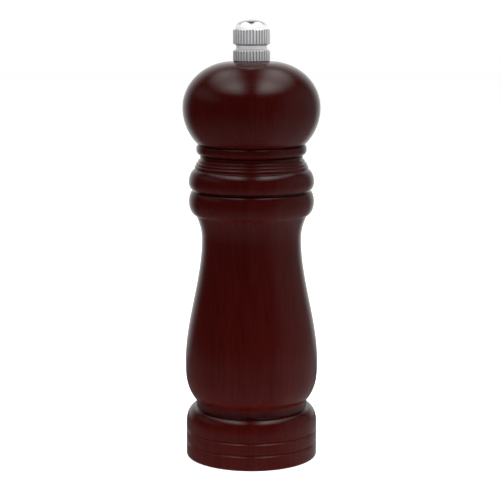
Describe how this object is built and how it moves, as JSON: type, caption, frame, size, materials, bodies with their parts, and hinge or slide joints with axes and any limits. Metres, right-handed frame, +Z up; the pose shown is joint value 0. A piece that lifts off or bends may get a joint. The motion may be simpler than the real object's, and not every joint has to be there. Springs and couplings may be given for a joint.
{
  "type": "pepper mill",
  "caption": "Turned wooden pepper mill with a domed head, a square shaft that drives a conical burr, and a knurled nut on top that sets the grind",
  "frame": {"origin": "middle of the base's underside, on the surface it stands on", "axes": "+Z up along the turning axis; the mill is round, so X and Y follow the flats of the square shaft"},
  "size_m": [0.0513, 0.0512, 0.165],
  "materials": {
    "stained_wood": "mahogany stain under satin lacquer",
    "chrome_plate": "polished chrome plate",
    "shaft_aluminium": "drawn, bare",
    "plated_steel": "zinc-plated stamping",
    "screw_steel": "bright zinc plate",
    "burr_steel": "hardened, dark, oiled",
    "spring_steel": "drawn, bright",
    "black_nylon": "moulded, satin",
    "brass": "turned"
  },
  "bodies": {
    "base": {"body": "stained_wood", "grinder_housing": "black_nylon", "housing_screws": "screw_steel", "stator": "burr_steel", "stator_snap_ring": "spring_steel", "bridge": "plated_steel", "bridge_rivets": "screw_steel"},
    "thrust": {"thrust_bush": "brass", "bearing_washer": "spring_steel", "rotor_spring": "spring_steel"},
    "shaft": {"shaft": "shaft_aluminium", "rotor": "burr_steel", "spring_cup": "plated_steel", "rotor_washer": "plated_steel", "shaft_clip": "spring_steel"},
    "head": {"head": "stained_wood", "drive_plate": "plated_steel", "drive_plate_screws": "screw_steel"},
    "nut": {"finial_nut": "chrome_plate"}
  },
  "joints": [
    {"name": "mill_turn", "type": "hinge", "parent": "base", "child": "thrust", "pos_m": [0, 0, 0], "axis": [0, 0, 1], "continuous": true},
    {"name": "shaft_rise", "type": "slide", "parent": "thrust", "child": "shaft", "axis": [0, 0, 1], "range_m": [-0.00075, 0.00075], "deforming": ["rotor_spring"]},
    {"name": "head_lift", "type": "slide", "parent": "thrust", "child": "head", "axis": [0, 0, 1], "range_m": [0, 0.08]},
    {"name": "nut_turn", "type": "hinge", "parent": "head", "child": "nut", "pos_m": [0, 0, 0], "axis": [0, 0, 1], "range_deg": [-270, 270]}
  ],
  "couplings": [
    {"joint": "shaft_rise", "follows": "nut_turn", "m_per_rad": -0.000159}
  ]
}
